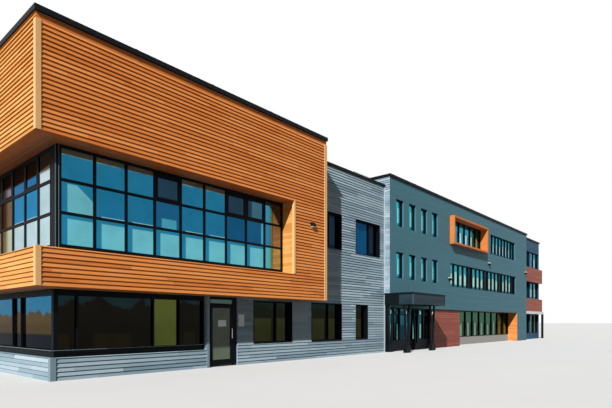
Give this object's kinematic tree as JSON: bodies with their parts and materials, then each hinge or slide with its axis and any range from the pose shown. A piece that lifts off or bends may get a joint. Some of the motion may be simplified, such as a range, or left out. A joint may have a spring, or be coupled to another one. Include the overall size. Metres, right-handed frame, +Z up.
{
  "type": "two- and three-storey commercial building, 1:2 scale model",
  "caption": "Long commercial building with a timber-clad corner box and glazed corner window, a grey link, a slate three-storey wing with an entrance canopy, and an end block. 1:2 model.",
  "frame": {"origin": "under the middle of the building's whole box, at the lowest ground level", "axes": "+X along the long front towards the end block, +Y into the building, +Z up"},
  "size_m": [26.07, 8.215, 5.85],
  "materials": {
    "concrete": "fair-faced concrete, matt",
    "grey_siding": "blue-grey lap siding, matt",
    "cedar_boards": "oiled orange-brown lap boards",
    "cedar_soffit": "oiled brown boards",
    "slate_panels": "slate-blue cladding panels, satin",
    "dark_panels": "dark blue-grey cladding panels, satin",
    "red_siding": "red-brown horizontal siding, matt",
    "black_aluminium": "black coated aluminium, satin",
    "black_metal": "black coated sheet metal, satin",
    "tinted_glass": "tinted clear glass",
    "pale_panel": "pale enamelled panel, satin",
    "white_metal": "white coated metal, satin",
    "steel": "brushed stainless steel",
    "roof_membrane": "grey roof membrane, matt",
    "canopy_metal": "charcoal coated boards, satin",
    "gypsum": "pale floor deck, matt"
  },
  "bodies": {
    "building": {"foundations": "concrete", "near_front_base": "grey_siding", "near_front_wall": "grey_siding", "near_end_wall": "grey_siding", "near_back_wall": "grey_siding", "link_front_wall": "grey_siding", "timber_front": "cedar_boards", "timber_end": "cedar_boards", "timber_piers": "cedar_boards", "timber_back": "cedar_boards", "timber_side_wall": "cedar_boards", "soffits": "cedar_soffit", "opening_lining": "cedar_soffit", "ribbon_frame": "black_aluminium", "ribbon_glass": "tinted_glass", "ribbon_mullions": "black_aluminium", "ribbon_sashes": "black_aluminium", "ribbon_spandrels": "pale_panel", "near_window_frames": "black_aluminium", "near_window_glass": "tinted_glass", "side_door_frame": "black_aluminium", "upper_floors": "gypsum", "roofs": "roof_membrane", "long_copings": "black_metal", "cross_copings": "black_metal", "far_near_wall": "grey_siding", "far_wall_left": "slate_panels", "far_bands": "slate_panels", "far_wall_pier": "slate_panels", "far_wall_right": "slate_panels", "far_back_wall": "slate_panels", "red_wall": "red_siding", "timber_window_box": "cedar_boards", "far_window_frames": "black_aluminium", "far_window_glass": "tinted_glass", "end_front_wall": "dark_panels", "end_red_bands": "red_siding", "end_fascia": "white_metal", "end_side_wall": "dark_panels", "canopy_roof": "canopy_metal", "canopy_columns": "black_metal", "rooftop_unit": "white_metal", "wall_lamps": "black_metal", "sign_plate": "white_metal"},
    "side_door": {"side_door_leaf": "black_aluminium", "side_door_glass": "tinted_glass", "side_door_pull": "steel"}
  },
  "joints": [
    {"name": "side_door_hinge", "type": "hinge", "parent": "building", "child": "side_door", "pos_m": [-9.6225, -3.1215, 0], "axis": [0, 0, -1], "range_deg": [0, 90]}
  ]
}
